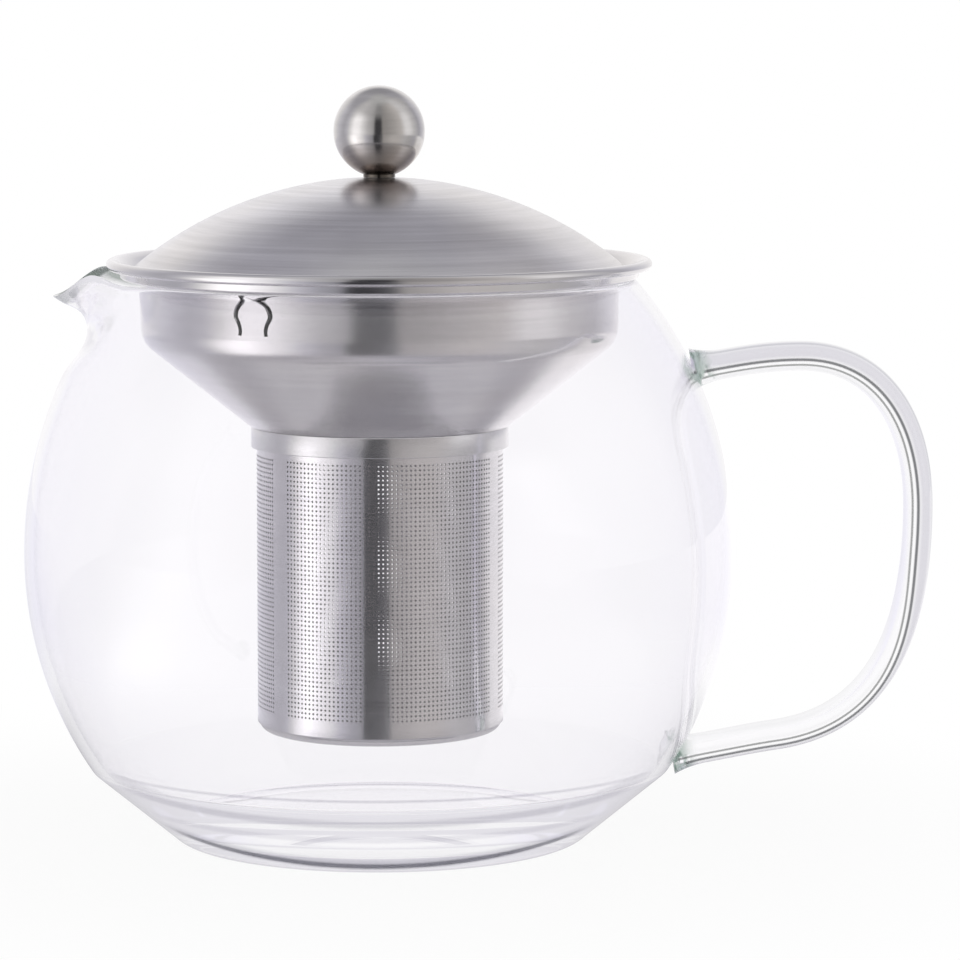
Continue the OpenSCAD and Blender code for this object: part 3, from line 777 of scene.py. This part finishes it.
def perforated_third(name, middle):
    """A third of the sleeve: half a plain strip, a field of holes, and half a strip."""
    low, high = BASKET_Z + CUP_ROUND, cone_low - SEAM
    us = [-field_angle / 2 + column_step * i / 2 for i in range(2 * columns + 1)]
    vs = [HOLES_FROM + row_step * j / 2 for j in range(2 * rows + 1)]
    side = np.linspace(math.pi / STRIPS, field_angle / 2, 4)[:-1]
    all_u = [-s for s in side] + us + list(side[::-1])
    all_v = [low, (low + vs[0]) / 2] + vs + [(vs[-1] + high) / 2, high]
    points, faces, grid = [], [], {}

    def add(u, v, face):
        """A new point on the outside, face 0, or the inside, face 1."""
        r = (sleeve_r, sleeve_in)[face]
        points.append((r * math.cos(middle + u), r * math.sin(middle + u), v))
        return len(points) - 1

    def at(u, v, face):
        """The grid's point at a place, shared by its neighbours."""
        key = (round(u * 1e6), round(v * 1e4), face)
        if key not in grid:
            grid[key] = add(u, v, face)
        return grid[key]

    nu, nv, k = len(all_u), len(all_v), len(side)
    for i in range(nu - 1):
        for j in range(nv - 1):
            if k <= i < nu - 1 - k and 2 <= j < nv - 3:
                continue  # the field of holes, which comes next
            u0, u1, v0, v1 = all_u[i], all_u[i + 1], all_v[j], all_v[j + 1]
            faces.append((at(u0, v0, 0), at(u1, v0, 0), at(u1, v1, 0), at(u0, v1, 0)))
            faces.append((at(u0, v1, 1), at(u1, v1, 1), at(u1, v0, 1), at(u0, v0, 1)))
    for c in range(columns):
        for w in range(rows):
            cu, cv = us[2 * c + 1], vs[2 * w + 1]
            holes = []
            for face in (0, 1):
                rim = []
                for x, y in AROUND:
                    a = math.atan2(y, x)
                    rim.append(add(cu + HOLE_R * math.cos(a) / sleeve_r,
                                   cv + HOLE_R * math.sin(a), face))
                holes.append(rim)
                outer = [at(cu + x * column_step / 2, cv + y * row_step / 2, face)
                         for x, y in AROUND]
                for m in range(8):
                    q = (outer[m], outer[(m + 1) % 8], rim[(m + 1) % 8], rim[m])
                    faces.append(q if face == 0 else q[::-1])
            near, far = holes
            for m in range(8):
                faces.append((near[m], near[(m + 1) % 8], far[(m + 1) % 8], far[m]))
    for j in (0, nv - 1):
        for i in range(nu - 1):
            q = (at(all_u[i], all_v[j], 0), at(all_u[i], all_v[j], 1),
                 at(all_u[i + 1], all_v[j], 1), at(all_u[i + 1], all_v[j], 0))
            faces.append(q if j == 0 else q[::-1])
    return add_mesh(name, points, faces, 40)


first_middle = math.radians(-90 - STRIP_TURN) + math.pi / STRIPS
for t in range(STRIPS):
    third = perforated_third(f"sleeve_field_{t + 1}", first_middle + 2 * math.pi * t / STRIPS)
    dress(third, "infuser", ["basket_sleeve"], sleeve_steel)
print(f"{rows} rows and {STRIPS * columns} columns make {rows * columns * STRIPS} holes")

# %% [markdown]
# The cup closes the sleeve below and the band hides its upper edge, where the funnel's neck
# is pressed in. The cup is a shallow dish of plain sheet, the band a short turned ring, and
# both have eased edges.

# %% Cup and band
cup_r = sleeve_in - SEAM
cup_path = [(cup_r, BASKET_Z + CUP_H)]
cup_path += arc((cup_r - CUP_ROUND, BASKET_Z + CUP_ROUND), CUP_ROUND, 0, -90, 12)
cup_path += [(16, BASKET_Z), (8, BASKET_Z), (0, BASKET_Z)]


def capped_sheet(path, thickness):
    """Closed outline of sheet that reaches the axis at its path's end."""
    back = shifted(path, thickness)[::-1]
    return rounded(list(path), 0.1) + [(0, back[0][1])] + back[1:]


cup = spin("basket_cup", capped_sheet(cup_path, SHEET))
dress(cup, "infuser", ["basket_base"], cup_steel)
band_top = cone_low - SEAM
band_low = band_top - BAND_H
band = spin("neck_ring", rounded([
    (band_r, band_low), (band_r, band_top),
    (sleeve_r + SEAM, band_top), (sleeve_r + SEAM, band_low)], 0.25, closed=True))
dress(band, "infuser", ["neck_band"], fitting_steel)

# %% [markdown]
# ## The lid
# The lid is a spun dome with a locating ring welded under it and a turned ball on top. The
# ball's foot is a short neck, and its screw comes up through a washer from inside.

# %% Dome, ring, knob and screw
LID_RISE, LID_T, LID_PLAY, LID_HOLE_R = 20.4, 0.7, 0.8, 2.2
SKIRT_PLAY, SKIRT_H, FLANGE = 0.7, 7, 3
lid_edge_z = seat_z + GAP
lid_r = step_r - SHEET - STEP_LEAN - LID_PLAY
dome_r = (lid_r ** 2 + LID_RISE ** 2) / (2 * LID_RISE)
dome_centre = lid_edge_z + LID_RISE - dome_r
lid_top = lid_edge_z + LID_RISE


def dome_z(r, depth=0.0):
    return dome_centre + math.sqrt((dome_r - depth) ** 2 - r * r)


lid_in_r = math.sqrt((dome_r - LID_T) ** 2 - (lid_edge_z - dome_centre) ** 2)
dome_out = [(r, dome_z(r)) for r in np.linspace(LID_HOLE_R, lid_r, 48)]
dome_in = [(r, dome_z(r, LID_T)) for r in np.linspace(LID_HOLE_R, lid_in_r, 48)]
dome_sheet = rounded(dome_out + dome_in[::-1], 0.2, closed=True, sharper_than=50)
dome = spin("lid_dome_sheet", dome_sheet, 288)
dress(dome, "lid", ["lid_dome"], lid_steel)

skirt_r = collar_r - SHEET - SKIRT_PLAY
under_dome = LID_T + SEAM
skirt_path = [(r, dome_z(r, under_dome))
              for r in (skirt_r - 1 - FLANGE * (1 - i / 6) for i in range(7))]
skirt_path += [(skirt_r, dome_z(skirt_r, under_dome) - 1), (skirt_r, lid_edge_z - SKIRT_H)]
skirt = spin("lid_ring", sheet(rounded(skirt_path, 0.8), SHEET))
dress(skirt, "lid", ["lid_skirt"], fitting_steel)

KNOB_R, KNOB_FOOT_R, BORE_R, BORE_TOP = 9.7, 3.4, 2.05, 10
knob_low = lid_top + SEAM
knob_z = knob_low + KNOB_R
meet = math.degrees(math.asin(KNOB_FOOT_R / KNOB_R))
knob_outline = [(BORE_R, knob_low), (KNOB_FOOT_R, knob_low), (KNOB_FOOT_R, lid_top + 0.5)]
knob_outline += arc((0, knob_z), KNOB_R, -90 + meet, 90, 60)[:-1]
knob_outline += [(0, knob_z + KNOB_R), (0, lid_top + BORE_TOP), (BORE_R, lid_top + BORE_TOP)]
knob = spin("ball_knob", knob_outline, 160, 32)
dress(knob, "lid", ["lid_knob"], knob_steel)

WASHER_R, WASHER_T, HEAD_R, SCREW_R, SCREW_TOP = 5, 0.8, 3.7, 2, 9
washer_top = dome_z(WASHER_R, LID_T) - SEAM
washer_low = washer_top - WASHER_T
washer = spin("washer", rounded([
    (WASHER_R, washer_low), (WASHER_R, washer_top), (LID_HOLE_R, washer_top),
    (LID_HOLE_R, washer_low)], 0.15, closed=True), 96)
dress(washer, "lid", ["knob_washer"], fitting_steel)
head_top = washer_low - SEAM
screw = spin("knob_fixing", [
    (0, head_top - 1.1), (2.2, head_top - 1.5), (3.2, head_top - 2.0), (HEAD_R, head_top - 1.4),
    (HEAD_R, head_top), (SCREW_R, head_top), (SCREW_R, lid_top + SCREW_TOP),
    (0, lid_top + SCREW_TOP)], 96, 32)
dress(screw, "lid", ["knob_screw"], fitting_steel)

# %% [markdown]
# ## Camera
# The teapot is seen from the front, a little from above, through a long lens, so its sides
# hardly converge.

# %% The camera
AIM, DISTANCE, PITCH_DOWN = (0.02136, 0.0, 0.077), 1.0, math.radians(6.39)
SENSOR, FOCAL, PICTURE = 36.0, 4682.5, 960  # millimetres, then pixels
camera_data = bpy.data.cameras.new("camera")
camera_data.lens = SENSOR * FOCAL / PICTURE
camera_data.sensor_width = SENSOR
camera = bpy.data.objects.new("camera", camera_data)
camera.location = (AIM[0], -DISTANCE * math.cos(PITCH_DOWN),
                   AIM[2] + DISTANCE * math.sin(PITCH_DOWN))
camera.rotation_euler = (math.pi / 2 - PITCH_DOWN, 0, 0)
scene.collection.objects.link(camera)
scene.camera = camera
print(f"lens {camera_data.lens:.1f} mm")

# %% [markdown]
# Light that enters thick glass is mirrored inside it many times before it leaves. If it is
# given up too early the glass turns black, so we let it be followed further.

# %% Longer light paths for glass
scene.cycles.max_bounces = 24
scene.cycles.glossy_bounces = 16
scene.cycles.transmission_bounces = 20
scene.cycles.transparent_max_bounces = 20

# %% [markdown]
# ## Floor, surroundings and lamps
# The floor is pale and the surroundings white. Polished things show what is round them, so
# the room matters as much as the lamps. Soft boxes light the scene, but the steel doesn't
# mirror them: it mirrors a tent of painted tones and the floor under it, bright to the left
# and right and dark in front, as if someone stood there. Only rays that steel has
# mirrored, or that glass has bent far aside, see these tones.

# %% Rays and tones
WARM, NEUTRAL, LILAC = (1.0, 0.955, 0.92), (1.0, 0.985, 0.99), (0.985, 0.975, 1.05)
BRIGHTEST_TINT = 1.05
TENT_LIGHT = 0.82
JUG_FACES = 4  # faces of glass on the way in to the steel and out again
ASIDE = (math.radians(146), math.radians(162))


def looks_at_backdrop(f):
    """1 for rays that look at the backdrop, straight or by glass and metal."""
    look, mirrored, through = (f.path(f"Is {kind} Ray")
                               for kind in ("Camera", "Glossy", "Transmission"))
    return look.maths("MAXIMUM", mirrored).maths("MAXIMUM", through)


def off_steel_share(f, faces=(0, JUG_FACES)):
    """1 for rays that steel has mirrored, seen through so many faces of glass."""
    mirrored = f.path("Glossy Depth").maths("MINIMUM", 1.0)
    passed = f.path("Transmission Depth")
    return mirrored * sum(f.node("Math", {"operation": "COMPARE"}, {0: passed, 1: n, 2: 0.5})
                          for n in faces)


def bent_aside(f, bearing):
    """1 for rays that glass has bent towards the sides, away from the white backdrop."""
    return 1 - f.step(bearing.maths("ABSOLUTE"), *ASIDE)


def tone_ramp(f, bearing, tones, light=TENT_LIGHT):
    """Colours by bearing from the front, given as (degrees, brightness, tint)."""
    brightest = max(t for _, t, _ in tones)
    stops = [((b + 180) / 360, tuple(min(1, t / brightest * c / BRIGHTEST_TINT) for c in tint))
             for b, t, tint in tones]
    ramp = f.node("ValToRGB", {"stops": stops}, {0: bearing * (0.5 / math.pi) + 0.5})
    return f.blend(1.0, ramp, (brightest * BRIGHTEST_TINT * light,) * 3, "MULTIPLY")


low_tones = [
    (-180, 1.5, NEUTRAL), (-158, 1.1, LILAC), (-134, 0.98, LILAC), (-118, 0.85, LILAC),
    (-106, 0.73, LILAC), (-97, 0.70, LILAC), (-91, 0.8, LILAC), (-84, 1.1, NEUTRAL),
    (-76, 1.8, NEUTRAL), (-68, 2.25, NEUTRAL), (-62, 2.2, NEUTRAL), (-53, 1.75, NEUTRAL),
    (-43, 1.35, NEUTRAL), (-34, 0.9, LILAC), (-24, 0.6, LILAC), (-14.4, 0.47, LILAC),
    (-13.0, 0.05, LILAC), (-3, 0.07, LILAC), (5, 0.14, LILAC), (9.6, 0.3, NEUTRAL),
    (11, 0.56, WARM), (24, 0.66, WARM), (36, 0.79, WARM), (50, 0.8, WARM), (70, 0.79, NEUTRAL),
    (83, 0.69, NEUTRAL), (104, 0.67, LILAC), (111, 0.86, NEUTRAL), (119, 1.27, NEUTRAL),
    (140, 1.35, NEUTRAL), (180, 1.5, NEUTRAL)]
middle_tones = [
    (-180, 1.3, NEUTRAL), (-160, 1.3, NEUTRAL), (-140, 1.15, NEUTRAL), (-120, 0.9, LILAC),
    (-100, 0.67, LILAC), (-88, 0.82, LILAC), (-78, 1.15, NEUTRAL), (-66, 1.75, NEUTRAL),
    (-52, 1.7, NEUTRAL), (-40, 1.2, NEUTRAL), (-28, 0.82, NEUTRAL), (-12, 0.56, NEUTRAL),
    (-10, 0.06, LILAC), (7, 0.08, LILAC), (10, 0.45, WARM), (20, 0.48, WARM), (40, 0.62, WARM),
    (60, 0.83, WARM), (73, 1.25, NEUTRAL), (84, 1.25, NEUTRAL), (100, 0.88, NEUTRAL),
    (120, 0.62, LILAC), (136, 0.9, LILAC), (160, 1.2, NEUTRAL), (180, 1.3, NEUTRAL)]
high_tones = [
    (-180, 0.48, LILAC), (-158, 0.5, LILAC), (-140, 0.62, LILAC), (-120, 0.6, LILAC),
    (-100, 0.62, LILAC), (-80, 0.82, NEUTRAL), (-60, 0.88, NEUTRAL), (-40, 0.74, NEUTRAL),
    (-20, 0.63, NEUTRAL), (-6, 0.4, NEUTRAL), (8, 0.4, NEUTRAL), (20, 0.5, WARM),
    (40, 0.64, WARM), (60, 0.82, WARM), (80, 1.0, NEUTRAL), (100, 0.92, NEUTRAL),
    (120, 0.72, NEUTRAL), (140, 0.62, LILAC), (158, 0.5, LILAC), (180, 0.48, LILAC)]
glass_tones = [
    (-180, 0.98, NEUTRAL), (-150, 0.95, LILAC), (-125, 0.91, LILAC), (-108, 0.86, LILAC),
    (-90, 0.80, LILAC), (0, 0.78, NEUTRAL), (90, 0.80, LILAC), (108, 0.86, LILAC),
    (125, 0.91, LILAC), (150, 0.95, LILAC), (180, 0.98, NEUTRAL)]
print("the floor is painted with", len(low_tones), "tones")

# %% Floor and surroundings
# how far from the axis, in metres, each begins and is full
LIT_FLOOR, FLOOR_SHADOW_EDGE, TONES, ASIDE_TONES = (0.08, 0.2), (0.055, 0.095), (0.1, 0.17), (0.16, 0.3)
SHADE = 0.08
# the darker floor round the foot, seen only by steel, is a painted shadow of the jug
FLOOR_PALE, NEAR_FLOOR_SHADOW, FOOT_FLOOR_SHADOW = (0.9, 0.9, 0.9), (0.48, 0.47, 0.5), (0.62, 0.61, 0.63)
SOFT_LIGHT = 0.55


def floor_finish():
    """White to look at, but for a faint shade round the foot. Steel sees low_tones, and nearer to
    the foot a darker floor that is a painted shadow of the jug. Rays that glass has bent far
    aside see glass_tones."""
    f = Finish("pale_floor")
    bearing, away, _ = polar(f)
    shade = f.step(away, *LIT_FLOOR) * SHADE + (1 - SHADE)
    # painted shadow of the jug on the floor, seen only by steel
    near = f.blend(f.step(away, *FLOOR_SHADOW_EDGE), FOOT_FLOOR_SHADOW, NEAR_FLOOR_SHADOW)
    to_steel = f.blend(f.step(away, *TONES), near, tone_ramp(f, bearing, low_tones))
    aside = bent_aside(f, bearing) * f.step(away, *ASIDE_TONES) * (1 - f.path("Is Camera Ray"))
    to_glass = f.blend(aside, (1, 1, 1), tone_ramp(f, bearing, glass_tones, 1.0))
    steel = off_steel_share(f)
    glow = f.node("Emission", {}, {"Color": f.blend(steel, to_glass, to_steel)})
    plain = f.node("BsdfDiffuse", {}, {"Color": FLOOR_PALE})
    return f.close(f.mix_shaders((looks_at_backdrop(f) * shade).maths("MAXIMUM", steel),
                                 plain, glow))


floor_mesh = bpy.data.meshes.new("floor")
floor_mesh.from_pydata([(-9, -9, 0), (9, -9, 0), (9, 9, 0), (-9, 9, 0)], [], [(0, 1, 2, 3)])
floor = bpy.data.objects.new("floor", floor_mesh)
floor.data.materials.append(floor_finish())
floor.location.z = -0.2 * MM
scene.collection.objects.link(floor)

surroundings = Finish("surroundings", "World")
soft_light = surroundings.node("Background", {}, {"Strength": SOFT_LIGHT})
backdrop = surroundings.node("Background", {}, {"Color": (1, 1, 1)})
scene.world = surroundings.close(surroundings.mix_shaders(
    looks_at_backdrop(surroundings), soft_light, backdrop))

# %% Lamps and the reflection tent
LAMP_TARGET = Vector((0, 0, 0.08))
TENT_EYE = 0.12  # height from which the tent's tones are measured
TENT_PROFILE = [(1.15, -0.0001), (1.2, 1.1), (0.9, 1.7), (0.02, 2.0)]
ZENITH = 0.72


def soft_box(name, place, size, power):
    """A lamp that shines on the teapot's middle and isn't mirrored in it."""
    data = bpy.data.lights.new(name, "AREA")
    data.shape, data.size, data.size_y, data.energy = "RECTANGLE", size[0], size[1], power
    lamp = bpy.data.objects.new(name, data)
    lamp.location = place
    scene.collection.objects.link(lamp)
    lamp.rotation_euler = (LAMP_TARGET - lamp.location).to_track_quat("-Z", "Y").to_euler()
    lamp.visible_glossy = lamp.visible_transmission = False
    print(f"{name}: {power} W over {size[0]} x {size[1]} m")


def tent_finish():
    """Steel sees middle_tones, high_tones above them and a plain tone overhead, but only the
    lowest of them through the jug. Rays that glass has bent far aside see glass_tones, and
    for all others the tent isn't there."""
    f = Finish("tent_cloth")
    bearing, away, z = polar(f)
    rise = (z - TENT_EYE).maths("ARCTAN2", away)

    def above(start, end):
        return f.step(rise, math.radians(start), math.radians(end))

    tones = f.blend(above(26, 50), tone_ramp(f, bearing, middle_tones),
                    tone_ramp(f, bearing, high_tones))
    tones = f.blend(above(62, 84), tones, (ZENITH * TENT_LIGHT,) * 3)
    off_steel = off_steel_share(f, [0]).maths("MAXIMUM", off_steel_share(f) * (1 - above(6, 14)))
    aside = bent_aside(f, bearing) * (1 - above(25, 50)) * (1 - off_steel_share(f))
    cloth = f.node("Emission", {}, {
        "Color": f.blend(off_steel, tone_ramp(f, bearing, glass_tones, 1.0), tones)})
    return f.close(f.mix_shaders(off_steel.maths("MAXIMUM", aside),
                                 f.node("BsdfTransparent"), cloth))


def reflection_tent():
    """A round tent that lets the lamps shine through."""
    bearings = np.linspace(0, 2 * math.pi, 96, endpoint=False)
    rings = [[(d * math.sin(b), -d * math.cos(b), h) for b in bearings] for d, h in TENT_PROFILE]
    mesh = bpy.data.meshes.new("reflection_tent")
    mesh.from_pydata([p for ring in rings for p in ring], [], skin(rings, False, True))
    mesh.materials.append(tent_finish())
    tent = bpy.data.objects.new("reflection_tent", mesh)
    scene.collection.objects.link(tent)
    tent.visible_camera = tent.visible_diffuse = tent.visible_shadow = False


soft_box("left_box", (-0.80, -0.45, 0.62), (0.5, 0.7), 1.6)
soft_box("right_box", (0.95, -0.55, 0.75), (0.6, 0.6), 1.3)
soft_box("top_box", (0.1, -0.1, 1.3), (1.1, 1.1), 4.5)
reflection_tent()
